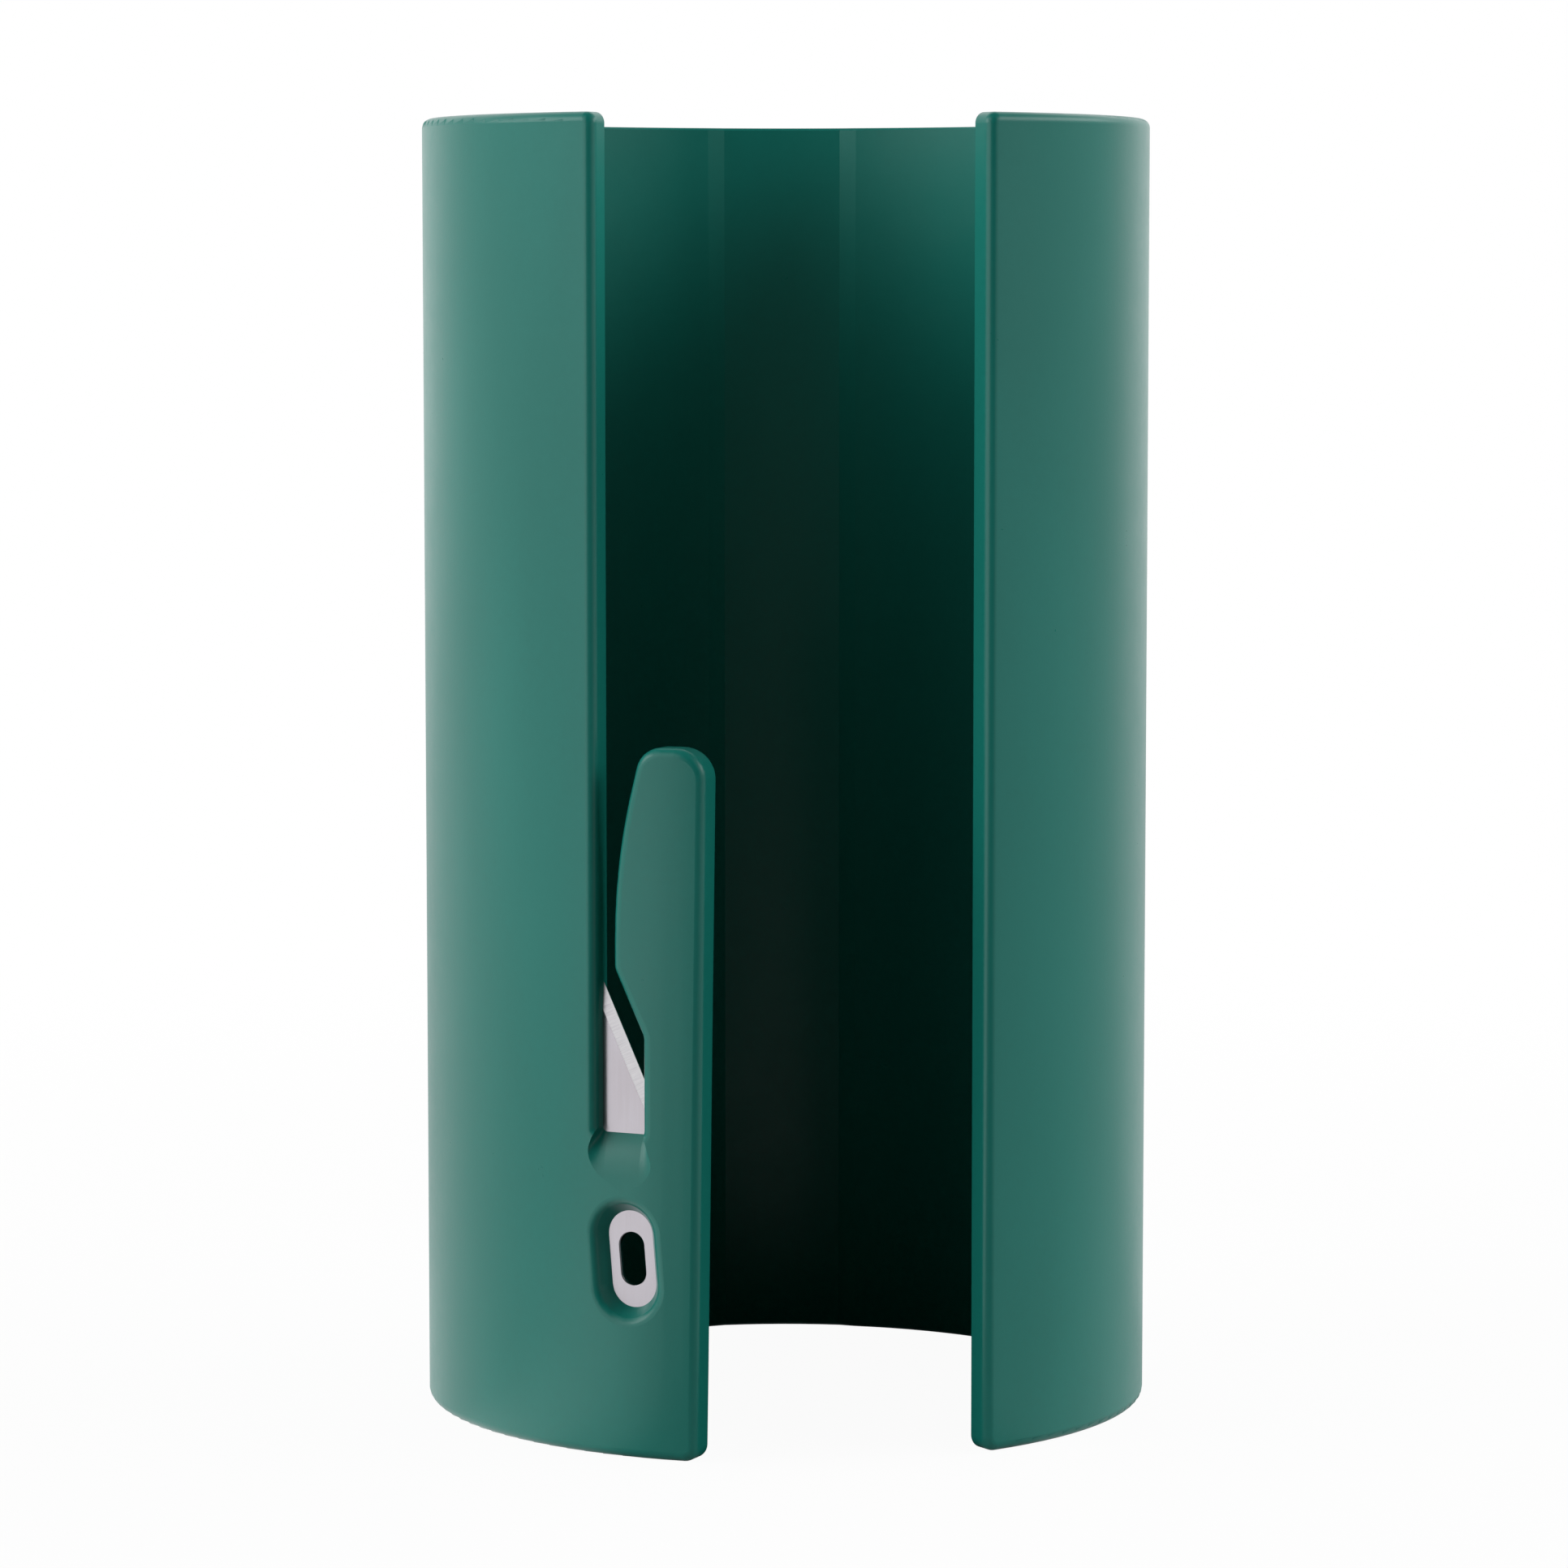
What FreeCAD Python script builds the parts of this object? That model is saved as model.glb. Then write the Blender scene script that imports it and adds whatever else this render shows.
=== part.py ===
import FreeCAD, Part
import math
import os

# Gift wrap paper cutter: a springy plastic sleeve, open along one side, that slips over a
# roll of gift wrap and slides along it, with a steel blade moulded into its wall.
# Millimetres. The axis of the sleeve is +Z and its foot stands on z = 0. The mouth faces -Y.
# Places round the sleeve are angles in degrees from -Y, positive towards +X.

# Sleeve
sleeve_length = 120.5
outer_radius = 34.0
wall = 2.6
mouth_half_angle = 31.4
edge_round = 0.85
inner_edge_break = 0.2
upper_corner_land = 0.15
lower_corner_land = 0.45

# Thinned panel at the back, where the sleeve flexes when it is slipped over a roll
flex_half_angle = 10.4
flex_step_angle = 3.1
flex_depth = 0.3

# The blade is flat and square to this direction. Distances across the blade's plane, below,
# are taken from this direction, positive towards the mouth, and heights from the foot.
blade_angle = -26.0

# Slit between the left flange and the tongue
flange_edge = -2.95
slit_width = 4.65
slit_end = 29.3
slit_corner_round = 0.5

# Tongue, with a notch over the blade, a knee above the notch, then a belly and a blunt tip.
# Each of these starts at a height above the one before it, and the notch above the slit's end.
notch_rise = 9.0
belly_rise = 9.25
tip_rise = 10.65
throat_slope = 25.2
throat_width = 1.8
knee_land = 0.1
tongue_width = 5.05
tongue_taper = 0.75
tongue_lean = 14.0
belly_radius = 55.0
tip_left_round = 2.4
tip_right_round = 2.8

# Blade
blade_thickness = 0.5
blade_width = 7.0
blade_skin = 0.4
blade_tilt = 4.8
edge_drop = 5.3
bevel_width = 1.05
edge_land = 0.08
tang_length = 7.2
tang_round = 1.5
tang_hole_width = 2.4
tang_hole_length = 4.8
tang_hole_break = 0.12

# Window that bares the blade's tang where the mould gripped it, centred below the slit's end
window_drop = 11.4
window_width = 4.4
window_length = 8.8
window_draft = 32.0
window_round = 0.9

# Scoop that runs from the end of the slit out to the face of the sleeve. At a softness of 1 its
# ramp is straight, and above 1 it eases into the face.
scoop_start = 0.1
scoop_length = 5.2
scoop_left_flare = 2.6
scoop_right_flare = 1.8
scoop_left_round = 2.3
scoop_right_round = 1.4
scoop_softness = 2.2

# Length by which cutting shapes pass the faces that they cut
overshoot = 1.0

inner_radius = outer_radius - wall
blade_back = inner_radius + blade_skin
blade_front = blade_back + blade_thickness
tongue_side = flange_edge + slit_width
tongue_knee = flange_edge + throat_width
notch_height = slit_end + notch_rise
knee_height = notch_height + (tongue_side - tongue_knee) / math.tan(math.radians(throat_slope))
belly_height = knee_height + belly_rise
tongue_tip = belly_height + tip_rise
window_height = slit_end - window_drop

# A corner is rounder than the edges that meet in it
upper_corner_round = edge_round + upper_corner_land
lower_corner_round = edge_round + lower_corner_land
knee_round = edge_round + knee_land


def polar(radius, angle, z=0.0):
    # Point at a distance from the axis, at an angle from -Y.
    turn = math.radians(angle)
    return FreeCAD.Vector(radius * math.sin(turn), -radius * math.cos(turn), z)


def arc(radius, start, end):
    # Arc round the axis from one angle to another.
    middle = (start + end) / 2
    return Part.Arc(polar(radius, start), polar(radius, middle), polar(radius, end)).toShape()


def rounded_outline(corners):
    # Closed wire through (x, y, radius) corners, each one turned by a tangent arc, or left sharp
    # where its radius is 0.
    points = [FreeCAD.Vector(x, y, 0) for x, y, radius in corners]
    turns = []
    for index, corner in enumerate(points):
        radius = corners[index][2]
        if radius == 0:
            turns.append((corner, corner, corner))
            continue
        before = (points[index - 1] - corner).normalize()
        after = (points[(index + 1) % len(points)] - corner).normalize()
        half = before.getAngle(after) / 2
        reach = radius / math.tan(half)
        inwards = (before + after).normalize()
        crown = corner + inwards * (radius / math.sin(half) - radius)
        turns.append((corner + before * reach, crown, corner + after * reach))
    edges = []
    for index, (start, crown, end) in enumerate(turns):
        if corners[index][2] > 0:
            edges.append(Part.Arc(start, crown, end).toShape())
        edges.append(Part.makeLine(end, turns[(index + 1) % len(turns)][0]))
    return Part.Wire(edges)


def stadium(width, length):
    # Slot-shaped wire with round ends, centred on the origin and long in y.
    side = width / 2
    run = (length - width) / 2
    right_foot = FreeCAD.Vector(side, -run, 0)
    right_head = FreeCAD.Vector(side, run, 0)
    left_head = FreeCAD.Vector(-side, run, 0)
    left_foot = FreeCAD.Vector(-side, -run, 0)
    head = FreeCAD.Vector(0, length / 2, 0)
    foot = FreeCAD.Vector(0, -length / 2, 0)
    return Part.Wire([
        Part.makeLine(right_foot, right_head),
        Part.Arc(right_head, head, left_head).toShape(),
        Part.makeLine(left_head, left_foot),
        Part.Arc(left_foot, foot, right_foot).toShape(),
    ])


def raised(shape, depth):
    # Copy of a flat drawing, lifted square to its plane.
    copy = shape.copy()
    copy.translate(FreeCAD.Vector(0, 0, depth))
    return copy


def on_blade_line(shape):
    # Drawing about the middle of the tang, leaned as the blade leans and lifted to the window.
    shape.rotate(FreeCAD.Vector(0, 0, 0), FreeCAD.Vector(0, 0, 1), blade_tilt)
    shape.translate(FreeCAD.Vector(0, window_height, 0))
    return shape


def in_blade_plane(shape, depth):
    # Shape drawn with x across, y up and z outwards, stood upright in the blade's direction
    # with its zero depth at this distance from the axis.
    upright = FreeCAD.Rotation(FreeCAD.Vector(1, 0, 0), 90)
    turned = FreeCAD.Rotation(FreeCAD.Vector(0, 0, 1), blade_angle)
    stand = FreeCAD.Placement(polar(depth, blade_angle), turned * upright)
    shape.Placement = stand.multiply(shape.Placement)
    return shape


def edges_where(shape, test):
    # Edges of which every sampled point passes the test.
    return [edge for edge in shape.Edges if all(test(point) for point in edge.discretize(5))]


def off_axis(point):
    # Distance of a point from the axis of the sleeve.
    return math.hypot(point.x, point.y)


def on_outer_face(point):
    return abs(off_axis(point) - outer_radius) < 1e-4


def tongue_edge(z):
    # Right-hand edge of the tongue at a height: it leans into the mouth as it rises.
    return tongue_side + tongue_width + z * math.tan(math.radians(tongue_taper))


def tube_blank():
    # C-shaped section, swept up the whole length: outer face, mouth and thinned back panel.
    left = 360 + blade_angle + math.degrees(math.asin((tongue_edge(0) + overshoot) / inner_radius))
    right = mouth_half_angle
    panel_radius = inner_radius + flex_depth
    near = 180 - flex_half_angle
    far = 180 + flex_half_angle
    near_step = near - flex_step_angle
    far_step = far + flex_step_angle
    section = Part.Wire([
        arc(outer_radius, right, left),
        Part.makeLine(polar(outer_radius, left), polar(inner_radius, left)),
        arc(inner_radius, left, far_step),
        Part.makeLine(polar(inner_radius, far_step), polar(panel_radius, far)),
        arc(panel_radius, far, near),
        Part.makeLine(polar(panel_radius, near), polar(inner_radius, near_step)),
        arc(inner_radius, near_step, right),
        Part.makeLine(polar(inner_radius, right), polar(outer_radius, right)),
    ])
    return Part.Face(section).extrude(FreeCAD.Vector(0, 0, sleeve_length))


def mouth_cutter():
    # One outline for the left side of the mouth, the slit and all round the tongue.
    tip_left = tongue_knee + tip_rise * math.tan(math.radians(tongue_lean))
    top = sleeve_length + overshoot
    clear = tongue_edge(sleeve_length) + 2 * overshoot
    outline = rounded_outline([
        (flange_edge, slit_end, slit_corner_round),
        (flange_edge, top, 0),
        (clear, top, 0),
        (clear, -overshoot, 0),
        (tongue_edge(-overshoot), -overshoot, 0),
        (tongue_edge(tongue_tip), tongue_tip, tip_right_round),
        (tip_left, tongue_tip, tip_left_round),
        (tongue_knee, belly_height, belly_radius),
        (tongue_knee, knee_height, knee_round),
        (tongue_side, notch_height, knee_round),
        (tongue_side, slit_end, slit_corner_round),
    ])
    start = math.sqrt(inner_radius**2 - clear**2) - overshoot
    run = outer_radius + overshoot - start
    return in_blade_plane(Part.Face(outline).extrude(FreeCAD.Vector(0, 0, run)), start)


def corners_at(tube, height):
    # Edges that cross the wall at both sides of the mouth, at one end of the tube.
    level = edges_where(tube, lambda point: abs(point.z - height) < 1e-6)
    return [edge for edge in level if edge.Curve.TypeId == "Part::GeomLine" and edge.Length > wall * 0.9]


def inner_rims(tube):
    # Edges of the bore, without the long upright steps of the thinned panel.
    reach = inner_radius + flex_depth + 1e-4
    bore = edges_where(tube, lambda point: off_axis(point) < reach)
    return [edge for edge in bore if edge.BoundBox.ZLength < sleeve_length / 2 or edge.BoundBox.YMax < 0]


def rounded_tube():
    # Tube with its mouth and tongue cut and the corners of the mouth rounded, then all its
    # outer edges rounded and its inner ones broken.
    tube = tube_blank().cut(mouth_cutter())
    tube = tube.makeFillet(upper_corner_round, corners_at(tube, sleeve_length))
    tube = tube.makeFillet(lower_corner_round, corners_at(tube, 0))
    tube = tube.makeFillet(edge_round, edges_where(tube, on_outer_face))
    return tube.makeChamfer(inner_edge_break, inner_rims(tube))


def with_window(tube):
    # Dish that slopes down to the blade's face, with a soft rim, and a straight hole behind it.
    depth = outer_radius + overshoot - blade_front
    spread = 2 * depth * math.tan(math.radians(window_draft))
    floor = on_blade_line(stadium(window_width, window_length))
    mouth = on_blade_line(stadium(window_width + spread, window_length + spread))
    dish = Part.makeLoft([floor, raised(mouth, depth)], True)
    tube = tube.cut(in_blade_plane(dish, blade_front))
    reach = window_length / 2 + spread
    rim = edges_where(tube, lambda point: on_outer_face(point) and abs(point.z - window_height) < reach)
    tube = tube.makeFillet(window_round, rim)
    hole = Part.Face(on_blade_line(stadium(window_width, window_length)))
    run = wall - (outer_radius - blade_front) + overshoot
    hole = hole.extrude(FreeCAD.Vector(0, 0, run))
    return tube.cut(in_blade_plane(hole, blade_front - run))


def scoop_cutter():
    # Trumpet lofted from the square end of the slit, at the blade's face, to a wide round one at
    # the outer face. Its outlines spread by equal steps while their depths close in on the face,
    # so that the ramp and its sides run out softly. The last outline is just past the face.
    depth = outer_radius - blade_front
    start = slit_end + slit_corner_round + scoop_start
    top = start + overshoot
    low = slit_end - scoop_length
    narrow = [
        (flange_edge, top, 0),
        (flange_edge, start, 0),
        (flange_edge, slit_end, slit_corner_round),
        (tongue_side, slit_end, slit_corner_round),
        (tongue_side, start, 0),
        (tongue_side, top, 0),
    ]
    wide = [
        (flange_edge, top, 0),
        (flange_edge, start, 0),
        (flange_edge - scoop_left_flare, low, scoop_left_round),
        (tongue_side + scoop_right_flare, low, scoop_right_round),
        (tongue_side, start, 0),
        (tongue_side, top, 0),
    ]
    sections = []
    for spread in (0, 0.2, 0.4, 0.6, 0.8, 1, 1.2):
        gap = abs(1 - spread) ** scoop_softness
        height = depth * (1 + gap if spread > 1 else 1 - gap)
        outline = []
        for near, far in zip(narrow, wide):
            outline.append([a + (b - a) * spread for a, b in zip(near, far)])
        sections.append(raised(rounded_outline(outline), height))
    return in_blade_plane(Part.makeLoft(sections, True), blade_front)


def bevel_cutter(side, slant, start, length):
    # Triangular bar that grinds one face of the blade along its slanting edge.
    half = blade_thickness / 2
    steepness = (half - edge_land / 2) / bevel_width
    inwards = FreeCAD.Vector(-math.cos(slant), -math.sin(slant), 0)
    along = FreeCAD.Vector(-math.sin(slant), math.cos(slant), 0)
    low = edge_land / 2 - overshoot * steepness
    high = half + overshoot * steepness
    corners = []
    for reach, height in ((-overshoot, low), (bevel_width + overshoot, high), (-overshoot, high)):
        lift = FreeCAD.Vector(0, 0, half + side * height)
        corners.append(start + inwards * reach - along * overshoot + lift)
    bar = Part.Face(Part.makePolygon(corners + corners[:1]))
    return bar.extrude(along * (length + 2 * overshoot))


def blade_solid():
    # Flat strip with a slotted tang, ground from both faces along its slanting edge. The edge
    # runs below the notch of the tongue, parallel to the slope between notch and knee.
    tilt = math.radians(blade_tilt)
    slant = math.radians(throat_slope - blade_tilt)
    half = blade_width / 2
    lift = notch_height - edge_drop - window_height
    across = tongue_side * math.cos(tilt) + lift * math.sin(tilt)
    along = lift * math.cos(tilt) - tongue_side * math.sin(tilt)
    shoulder = along - (half - across) / math.tan(slant)
    point = shoulder + blade_width / math.tan(slant)
    outline = rounded_outline([
        (-half, -tang_length, tang_round),
        (half, -tang_length, tang_round),
        (half, shoulder, 0),
        (-half, point, 0),
    ])
    thickness = FreeCAD.Vector(0, 0, blade_thickness)
    blade = Part.Face(outline).extrude(thickness)
    blade = blade.cut(Part.Face(stadium(tang_hole_width, tang_hole_length)).extrude(thickness))
    reach = tang_hole_length / 2 + tang_hole_break
    rims = edges_where(blade, lambda corner: math.hypot(corner.x, corner.y) < reach)
    rims = [edge for edge in rims if edge.BoundBox.ZLength < blade_thickness / 2]
    blade = blade.makeFillet(tang_hole_break, rims)
    for side in (1, -1):
        heel = FreeCAD.Vector(half, shoulder, 0)
        blade = blade.cut(bevel_cutter(side, slant, heel, blade_width / math.sin(slant)))
    return in_blade_plane(on_blade_line(blade), blade_back)


def sleeve_solid(blade):
    # Sleeve moulded round the blade, so its pocket is the blade's own shape.
    sleeve = with_window(rounded_tube())
    sleeve = sleeve.cut(scoop_cutter())
    return sleeve.cut(blade)


def single(shape):
    # The one solid that a shape holds.
    solids = shape.Solids
    if len(solids) != 1 or not solids[0].isValid():
        raise ValueError("expected one valid solid")
    return solids[0]


def main():
    os.makedirs("parts", exist_ok=True)
    blade = single(blade_solid())
    sleeve = single(sleeve_solid(blade))
    for name, solid in (("sleeve", sleeve), ("blade", blade)):
        solid.exportStep("parts/" + name + ".step")
        print(name, "volume", round(solid.Volume, 1), "mm3")


main()
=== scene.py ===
import bpy
import math
import numpy as np
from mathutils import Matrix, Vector

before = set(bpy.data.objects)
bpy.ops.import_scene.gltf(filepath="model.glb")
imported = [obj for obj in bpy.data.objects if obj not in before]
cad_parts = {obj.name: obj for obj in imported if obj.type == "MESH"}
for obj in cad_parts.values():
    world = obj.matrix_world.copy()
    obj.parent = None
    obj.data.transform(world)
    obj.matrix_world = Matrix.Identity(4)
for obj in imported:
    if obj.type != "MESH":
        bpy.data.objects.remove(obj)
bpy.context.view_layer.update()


class Wire:
    # A node's output. An expression on wires and numbers adds the Math nodes that work it out.
    def __init__(self, shader, socket):
        self.shader = shader
        self.socket = socket

    def math(self, operation, *others):
        return self.shader.node("Math", {"operation": operation}, (self,) + others)["Value"]

    def __add__(self, other):
        return self.math("ADD", other)

    def __sub__(self, other):
        return self.math("SUBTRACT", other)

    def __mul__(self, other):
        return self.math("MULTIPLY", other)

    def __truediv__(self, other):
        return self.math("DIVIDE", other)

    def __rsub__(self, other):
        return self.shader.node("Math", {"operation": "SUBTRACT"}, (other, self))["Value"]

    def __rtruediv__(self, other):
        return self.shader.node("Math", {"operation": "DIVIDE"}, (other, self))["Value"]

    def __pow__(self, other):
        return self.math("POWER", other)

    def __neg__(self):
        return self.math("MULTIPLY", -1.0)

    __radd__ = __add__
    __rmul__ = __mul__


class Outputs:
    # A node seen as a table of its outputs.
    def __init__(self, shader, made):
        self.shader = shader
        self.made = made

    def __getitem__(self, name):
        return Wire(self.shader, self.made.outputs[name])


class Shader:
    # Node tree of one material or world.
    def __init__(self, owner):
        owner.use_nodes = True
        self.tree = owner.node_tree
        self.tree.nodes.clear()

    def node(self, kind, settings=None, inputs=None):
        # New node. Its settings come first, then the values or wires of its inputs, each by its
        # name or its place in the row.
        made = self.tree.nodes.new("ShaderNode" + kind)
        for name, value in (settings or {}).items():
            setattr(made, name, value)
        pairs = inputs.items() if isinstance(inputs, dict) else enumerate(inputs or ())
        for name, value in pairs:
            if isinstance(value, Wire):
                self.tree.links.new(value.socket, made.inputs[name])
            else:
                made.inputs[name].default_value = value
        return Outputs(self, made)

    def step(self, value, low, high):
        # Smooth step: 0 below low, 1 above high, and 3t2 - 2t3 between them.
        settings = {"interpolation_type": "SMOOTHSTEP"}
        inputs = {"Value": value, "From Min": low, "From Max": high}
        return self.node("MapRange", settings, inputs)["Result"]

    def mix(self, first, second, factor):
        # Colour between two colours: first + (second - first) factor. The names of this node's
        # sockets repeat, so they are told apart by their places in the row.
        inputs = {0: factor, 6: first, 7: second}
        return self.node("Mix", {"data_type": "RGBA"}, inputs)[2]

    def noise(self, place, lumps):
        # Noise about 0.5 at a place, which is scaled along the axes first if the lumps say so.
        if lumps["stretch"]:
            inputs = {"Vector": place, "Scale": lumps["stretch"]}
            place = self.node("Mapping", None, inputs)["Vector"]
        return self.node("TexNoise", None, {
            "Vector": place,
            "Scale": lumps["scale"],
            "Detail": lumps["detail"],
            "Roughness": lumps["roughness"],
        })["Fac"]

    def bump(self, height, depth, below=None):
        # Normal bent by a height from 0 to 1 that stands for this many metres.
        inputs = {"Strength": 1.0, "Distance": depth, "Height": height}
        if below is not None:
            inputs["Normal"] = below
        return self.node("Bump", None, inputs)["Normal"]


def colour(red, green, blue):
    return (red, green, blue, 1.0)


def grey(level):
    return colour(level, level, level)


def pattern(scale, detail, roughness, stretch=None):
    # The lumps of a noise: how many to a metre, how many finer layers they have, how strong those
    # are, and factors on x, y and z. A factor below 1 draws the lumps out along its axis.
    return {"scale": scale, "detail": detail, "roughness": roughness, "stretch": stretch}


def dress(node, material):
    # Puts one material on a CAD node.
    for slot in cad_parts[node].material_slots:
        slot.material = material


sleeve = {
    "deep": colour(0.0085, 0.196, 0.158),
    "fresh": colour(0.0098, 0.224, 0.182),
    "drift": pattern(38.0, 3.0, 0.55, (1.0, 1.0, 0.35)),
    "flecks": pattern(1400.0, 3.0, 0.6),
    "fleckShare": 0.15,         # of the tone, which has the rest from the drift
    "toneFade": (0.34, 0.66),
    "roughness": 0.30,
    "patches": pattern(260.0, 4.0, 0.6),
    "patchSpread": 0.08,
    "fleckSpread": 0.06,
    "refraction": 1.5,
    "swell": pattern(90.0, 1.0, 0.4, (1.0, 1.0, 0.3)),      # slow waves of the moulded wall
    "swellDepth": 0.00003,
    "grain": pattern(5200.0, 2.0, 0.5),
    "grainDepth": 0.0000045,
}


def plastic():
    # Satin moulded plastic. Its tone is a slow drift with a share of fine flecks. Its roughness is
    # a base plus the patches and the flecks, each less its middle and times its spread. A fine
    # grain lies over slow waves.
    material = bpy.data.materials.new("greenPlastic")
    shader = Shader(material)
    place = shader.node("TexCoord")["Object"]
    drift = shader.noise(place, sleeve["drift"])
    flecks = shader.noise(place, sleeve["flecks"])
    share = sleeve["fleckShare"]
    tone = shader.step(drift * (1.0 - share) + flecks * share, *sleeve["toneFade"])
    patches = shader.noise(place, sleeve["patches"])
    patchy = sleeve["roughness"] + (patches - 0.5) * sleeve["patchSpread"]
    swell = shader.bump(shader.noise(place, sleeve["swell"]), sleeve["swellDepth"])
    grain = shader.bump(shader.noise(place, sleeve["grain"]), sleeve["grainDepth"], swell)
    surface = shader.node("BsdfPrincipled", None, {
        "Base Color": shader.mix(sleeve["deep"], sleeve["fresh"], tone),
        "Roughness": patchy + (flecks - 0.5) * sleeve["fleckSpread"],
        "IOR": sleeve["refraction"],
        "Normal": grain,
    })["BSDF"]
    shader.node("OutputMaterial", None, {"Surface": surface})
    return material


dress("sleeve", plastic())
print("sleeve dressed")


blade = {
    "turn": math.radians(-26.0),        # the blade's plane is square to this direction, from -Y
    "edgeAcross": 0.0017,               # a point of the cutting edge, across that plane and up
    "edgeUp": 0.0330,
    "edgeLean": math.radians(25.2),
    "bevelFade": (0.00101, 0.00107),    # distances in from the edge between which it ends
    # distances in from the edge between which the band of painted glint ends
    "honedFade": (0.00016, 0.00024),
    "steel": colour(0.398, 0.372, 0.398),
    "pale": colour(0.450, 0.428, 0.462),
    # The bevel's two colours are near white, far brighter than the flat steel: a painted
    # highlight, the second one dimmer where scratched.
    "ground": colour(0.970, 0.950, 0.980),
    "scratched": colour(0.850, 0.830, 0.865),
    # A painted glint: the bright colour of a thin band along the cutting edge.
    "honed": colour(0.960, 0.950, 0.965),
    "lines": pattern(900.0, 4.0, 0.6, (6.0, 1.0, 0.12)),
    "clouds": pattern(190.0, 3.0, 0.5, (1.0, 1.0, 0.5)),
    "lineShare": 0.3,           # of the flat's tone, which has the rest from the clouds
    "flatFade": (0.35, 0.65),
    "scratches": pattern(7000.0, 3.0, 0.6),
    "scratchStretch": 0.06,     # below 1, so that they run in from the edge
    "groundFade": (0.35, 0.75),
    "roughness": 0.24,
    "cloudSpread": 0.12,
    "lineSpread": 0.10,
    "groundRoughness": 0.34,
    "scratchSpread": 0.12,
    "scratchHeight": 0.4,       # of a line's height
    "markDepth": 0.000002,
}


def steel():
    # Cold-rolled strip with a bevel made by grinding and an edge finished by honing. The bevel's
    # colour is near white, a painted highlight, and a thin band along the edge is a painted glint.
    # In the blade's plane, the distance in from the edge is (edgeAcross - across) cos lean +
    # (edgeUp - up) sin lean. Lines run along the strip on its flat and scratches across the bevel.
    # Each property is flat + (bevel's value - flat) bevel.
    material = bpy.data.materials.new("bladeSteel")
    shader = Shader(material)
    place = shader.node("TexCoord")["Object"]
    inputs = {"Vector": place, "Rotation": (0.0, 0.0, -blade["turn"])}
    turned = shader.node("Mapping", None, inputs)["Vector"]
    parts = shader.node("SeparateXYZ", None, (turned,))
    cosine, sine = math.cos(blade["edgeLean"]), math.sin(blade["edgeLean"])
    right = parts["X"] - blade["edgeAcross"]
    above = parts["Z"] - blade["edgeUp"]
    inside = -(right * cosine + above * sine)
    along = above * cosine - right * sine
    bevel = 1.0 - shader.step(inside, *blade["bevelFade"])
    # Band along the cutting edge that takes the painted glint colour.
    honed = 1.0 - shader.step(inside, *blade["honedFade"])
    lines = shader.noise(turned, blade["lines"])
    clouds = shader.noise(turned, blade["clouds"])
    across = (along, inside * blade["scratchStretch"], 0.0)
    scratches = shader.noise(shader.node("CombineXYZ", None, across)["Vector"], blade["scratches"])
    share = blade["lineShare"]
    tone = shader.step(clouds * (1.0 - share) + lines * share, *blade["flatFade"])
    flat = shader.mix(blade["steel"], blade["pale"], tone)
    # Painted highlight on the bevel: near-white colours, dimmer where the scratches are.
    tone = shader.step(scratches, *blade["groundFade"])
    ground = shader.mix(blade["ground"], blade["scratched"], tone)
    cloudy = blade["roughness"] + (clouds - 0.5) * blade["cloudSpread"]
    brushed = cloudy + (lines - 0.5) * blade["lineSpread"]
    scratched = (scratches - 0.5) * bevel * blade["scratchSpread"]
    marks = lines + (scratches * blade["scratchHeight"] - lines) * bevel
    surface = shader.node("BsdfPrincipled", None, {
        "Base Color": shader.mix(shader.mix(flat, ground, bevel), blade["honed"], honed),
        "Roughness": brushed + (blade["groundRoughness"] - brushed) * bevel + scratched,
        "Metallic": 1.0,
        "Normal": shader.bump(marks, blade["markDepth"]),
    })["BSDF"]
    shader.node("OutputMaterial", None, {"Surface": surface})
    return material


dress("blade", steel())
print("blade dressed")


# Brightness of the room by direction, where 1 is plain white. Fades are given between two values
# of a direction's x, y or z, or of its azimuth from -Y.
room = {
    "left": 0.70,
    "right": 0.45,
    "sideFade": (-0.2, 0.2),
    "leftFront": 1.1,
    "frontFade": (0.25, 0.60),
    "frontSideFade": (0.0, 0.2),
    "rear": 1.05,
    "rearFade": (0.45, 0.85),
    "leftFade": (math.radians(24.0), math.radians(35.0)),   # where the dark sector in front ends
    "rightFade": (math.radians(28.0), math.radians(46.0)),
    "horizonFade": (0.02, 0.10),
    "belowGain": 0.26,          # added below the horizon, as a share of what is above it
    "belowRearLoss": 0.55,      # taken off that gain behind
    "belowNearLoss": 0.45,      # taken off it beside the dark sector
    "nearFade": (0.68, 0.82),
    "belowDark": 0.2,           # the dark sector below the horizon
    "ceiling": 0.1,             # share of the brightness that is left overhead
    "ceilingFade": (0.7, 0.95),
    "band": 0.2,                # more behind, between two heights
    "bandRearFade": (0.25, 0.5),
    "bandLowFade": (0.3, 0.42),
    "bandHighFade": (0.8, 0.9),
}


def roomLevel(shader, x, y, below):
    # Brightness towards a direction with this x and y, where below is 1 under the horizon and 0
    # over it. The flank goes from left to right and up to leftFront at the left front, and the
    # level from the flank to the rear. The lit part is level (1 + below (gain - losses)), and the
    # dark sector in front is below times belowDark.
    azimuth = x.math("ARCTAN2", -y)
    lit = shader.step(-azimuth, *room["leftFade"]) + shader.step(azimuth, *room["rightFade"])
    behind = shader.step(y, *room["rearFade"])
    near = shader.step(-y, *room["nearFade"])
    losses = room["belowRearLoss"] * behind + room["belowNearLoss"] * near
    gain = 1.0 + below * (room["belowGain"] - losses)
    flank = room["left"] + (room["right"] - room["left"]) * shader.step(x, *room["sideFade"])
    leftFront = shader.step(-y, *room["frontFade"]) * shader.step(-x, *room["frontSideFade"])
    flank = flank + (room["leftFront"] - flank) * leftFront
    level = flank + (room["rear"] - flank) * behind
    return lit * gain * level + (1.0 - lit) * room["belowDark"] * below


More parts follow.
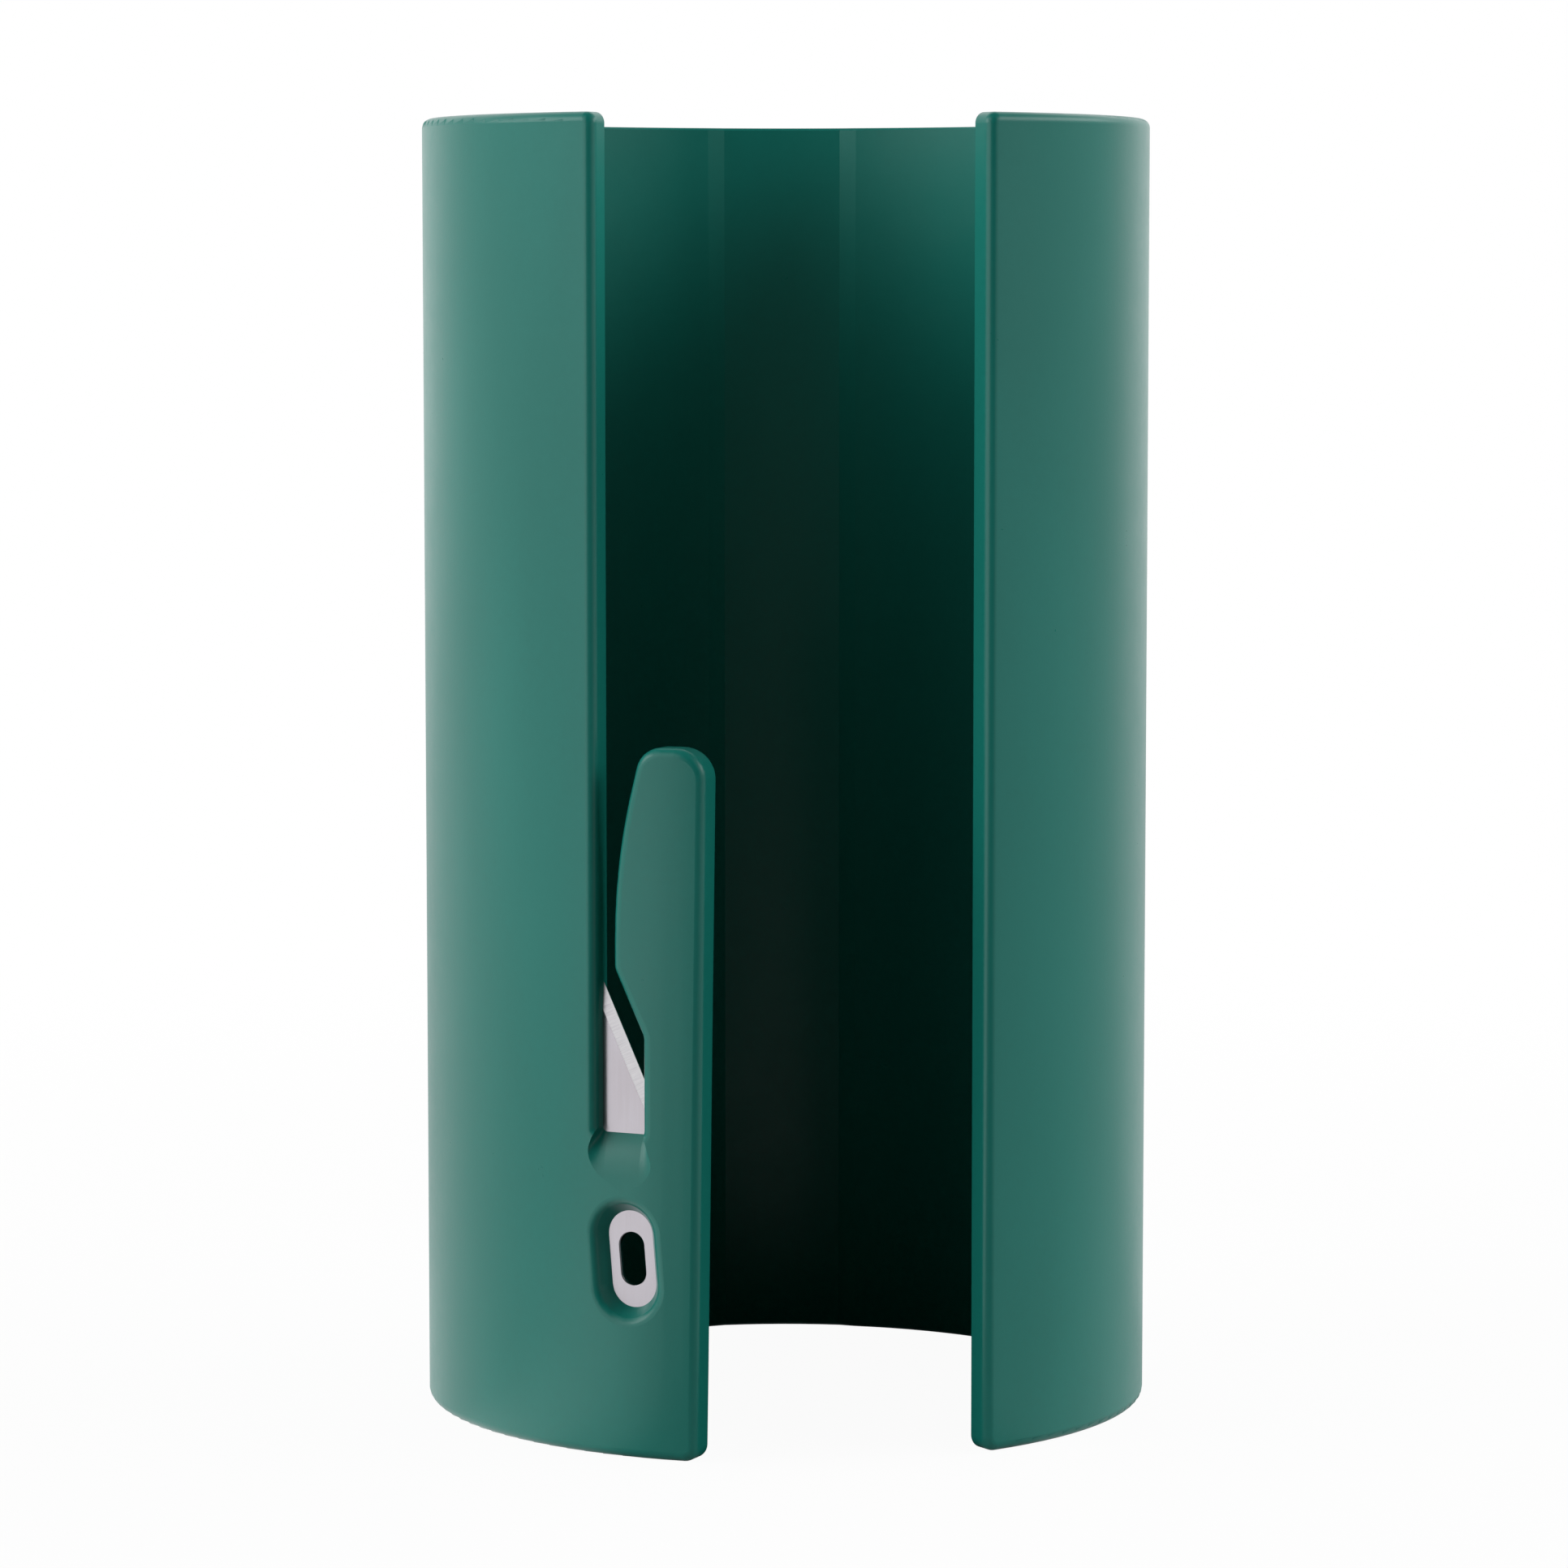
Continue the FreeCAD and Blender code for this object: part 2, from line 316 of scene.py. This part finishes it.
def sky():
    # Plain white for the camera. For light and reflections it is the room, which darkens towards
    # its ceiling and has a brighter band behind.
    world = bpy.data.worlds.new("studio")
    bpy.context.scene.world = world
    shader = Shader(world)
    parts = shader.node("SeparateXYZ", None, (shader.node("TexCoord")["Generated"],))
    x, y, z = parts["X"], parts["Y"], parts["Z"]
    height = 1.0 - (1.0 - room["ceiling"]) * shader.step(z, *room["ceilingFade"])
    band = shader.step(y, *room["bandRearFade"]) * shader.step(z, *room["bandLowFade"])
    band = band * (1.0 - shader.step(z, *room["bandHighFade"]))
    below = shader.step(-z, *room["horizonFade"])
    level = roomLevel(shader, x, y, below) * height + room["band"] * band
    camera = shader.node("LightPath")["Is Camera Ray"]
    inputs = {"Color": grey(1.0), "Strength": camera + (1.0 - camera) * level}
    out = shader.node("Background", None, inputs)["Background"]
    shader.node("OutputWorld", None, {"Surface": out})


floorLook = {
    "radius": 0.38,
    "rings": 12,
    "spokes": 96,
    "colour": grey(0.82),
    "glow": 0.955,              # share of its look that is plain white and takes no shadow
    "glowFade": (0.10, 0.34),   # distances from the axis between which that share goes up to 1
    "nearBounce": grey(0.48),   # its colour in the matt light that it gives back to the object
    "farBounce": grey(0.16),
    "bounceFade": (0.040, 0.085),
    "mirrorFade": (0.031, 0.0345),      # nearer than this, under the object, it mirrors as black
}


def disc(name, radius, rings, spokes):
    # Flat round floor, closed at its middle: x = r cos a, y = r sin a, with r from 0 out to the
    # radius.
    distance = np.linspace(0.0, radius, rings + 1)[1:]
    angle = np.linspace(0.0, 2 * np.pi, spokes, endpoint=False)
    reach, turn = np.meshgrid(distance, angle, indexing="ij")
    points = np.stack([reach * np.cos(turn), reach * np.sin(turn), np.zeros_like(reach)], -1)
    points = np.vstack([points.reshape(-1, 3), [[0.0, 0.0, 0.0]]])
    ring, spoke = np.meshgrid(np.arange(rings - 1), np.arange(spokes), indexing="ij")
    after = (spoke + 1) % spokes
    quads = np.stack([ring * spokes + spoke, (ring + 1) * spokes + spoke,
                      (ring + 1) * spokes + after, ring * spokes + after], -1).reshape(-1, 4)
    first = np.arange(spokes)
    middle = np.stack([np.full(spokes, len(points) - 1), first, (first + 1) % spokes], -1)
    mesh = bpy.data.meshes.new(name)
    mesh.from_pydata(points.tolist(), [], quads.tolist() + middle.tolist())
    made = bpy.data.objects.new(name, mesh)
    bpy.context.scene.collection.objects.link(made)
    return made


def floorMaterial():
    # Pale matt floor with the object's soft shadow. The camera sees it turn to plain white
    # outwards, and what is mirrored of it has the brightness of the room beyond it.
    material = bpy.data.materials.new("floorWhite")
    shader = Shader(material)
    light = shader.node("LightPath")
    parts = shader.node("SeparateXYZ", None, (shader.node("TexCoord")["Object"],))
    x, y = parts["X"], parts["Y"]
    reach = (x * x + y * y) ** 0.5
    camera = light["Is Camera Ray"]
    mirrored = light["Is Glossy Ray"] + light["Is Transmission Ray"]
    glow = floorLook["glow"]
    glow = glow + (1.0 - glow) * shader.step(reach, *floorLook["glowFade"])
    level = roomLevel(shader, x / reach, y / reach, 1.0)
    level = level * shader.step(reach, *floorLook["mirrorFade"])
    outwards = shader.step(reach, *floorLook["bounceFade"])
    bounce = shader.mix(floorLook["nearBounce"], floorLook["farBounce"], outwards)
    paint = shader.mix(bounce, floorLook["colour"], camera)
    matt = shader.node("BsdfDiffuse", None, {"Color": paint})["BSDF"]
    inputs = {"Color": grey(1.0), "Strength": camera + mirrored * level}
    plain = shader.node("Emission", None, inputs)["Emission"]
    mixed = shader.node("MixShader", None, (camera * glow + mirrored, matt, plain))["Shader"]
    shader.node("OutputMaterial", None, {"Surface": mixed})
    return material


# Angles in degrees, the azimuth from -Y. A lamp that isn't mirrored gives only matt light.
lamps = {
    "leftLamp": {"azimuth": -80.0, "elevation": 27.0, "width": 40.0, "height": 24.0,
                 "brightness": 1.5, "mirrored": True},
    "leftFill": {"azimuth": -80.0, "elevation": 20.0, "width": 40.0, "height": 24.0,
                 "brightness": 2.6, "mirrored": False},
    "rightLamp": {"azimuth": 92.0, "elevation": 30.0, "width": 66.0, "height": 20.0,
                  "brightness": 1.5, "mirrored": True},
    "rightFill": {"azimuth": 92.0, "elevation": 24.0, "width": 66.0, "height": 20.0,
                  "brightness": 2.7, "mirrored": False},
}
lampStand = {
    "distance": 0.8,
    "aim": (0.0, 0.0, 0.06),
    "power": 4.0,               # watts to a square metre at a brightness of 1
}


def lamp(name, azimuth, elevation, width, height, brightness, mirrored):
    # Soft rectangular lamp that is seen this wide and high from where it aims. A side is
    # 2 distance tan(angle / 2), and the width shrinks by cos elevation, as circles of azimuth do.
    side, up = math.radians(azimuth), math.radians(elevation)
    away = Vector((math.sin(side) * math.cos(up), -math.cos(side) * math.cos(up), math.sin(up)))
    data = bpy.data.lights.new(name, "AREA")
    data.shape = "RECTANGLE"
    span = 2 * lampStand["distance"]
    data.size = span * math.tan(math.radians(width / 2)) * math.cos(up)
    data.size_y = span * math.tan(math.radians(height / 2))
    data.energy = lampStand["power"] * data.size * data.size_y * brightness
    made = bpy.data.objects.new(name, data)
    made.location = Vector(lampStand["aim"]) + away * lampStand["distance"]
    made.rotation_euler = away.to_track_quat("Z", "Y").to_euler()
    made.visible_glossy = mirrored
    bpy.context.scene.collection.objects.link(made)


floor = disc("floor", floorLook["radius"], floorLook["rings"], floorLook["spokes"])
floor.data.materials.append(floorMaterial())
sky()
for name, settings in lamps.items():
    lamp(name, **settings)
print("studio lit")


view = {
    "distance": 0.5146,
    "height": 0.1068,
    "azimuth": -0.73,           # degrees, as are the pitch and the yaw
    "pitch": 5.41,
    "yaw": 0.02,
    "sensorWidth": 36.0,
    "focalPixels": 6727.7,      # focal length in pixels of a picture that is this many wide
    "widthPixels": 1932.0,
    "clipStart": 0.01,
    "clipEnd": 20.0,
}


def makeCamera():
    # Camera at a distance from the axis and a height, at an azimuth from -Y. It faces back along
    # azimuth + yaw, turned down by its pitch. Its lens is focalPixels / widthPixels of its sensor.
    data = bpy.data.cameras.new("camera")
    data.sensor_width = view["sensorWidth"]
    data.lens = view["focalPixels"] / view["widthPixels"] * view["sensorWidth"]
    data.clip_start = view["clipStart"]
    data.clip_end = view["clipEnd"]
    made = bpy.data.objects.new("camera", data)
    around = math.radians(view["azimuth"])
    heading = math.radians(view["azimuth"] + view["yaw"])
    down = math.radians(view["pitch"])
    out = view["distance"]
    made.location = (out * math.sin(around), -out * math.cos(around), view["height"])
    level = math.cos(down)
    ahead = Vector((-math.sin(heading) * level, math.cos(heading) * level, -math.sin(down)))
    made.rotation_euler = ahead.to_track_quat("-Z", "Y").to_euler()
    bpy.context.scene.collection.objects.link(made)
    bpy.context.scene.camera = made


makeCamera()
bpy.context.scene.view_settings.view_transform = "Standard"
print("camera set")
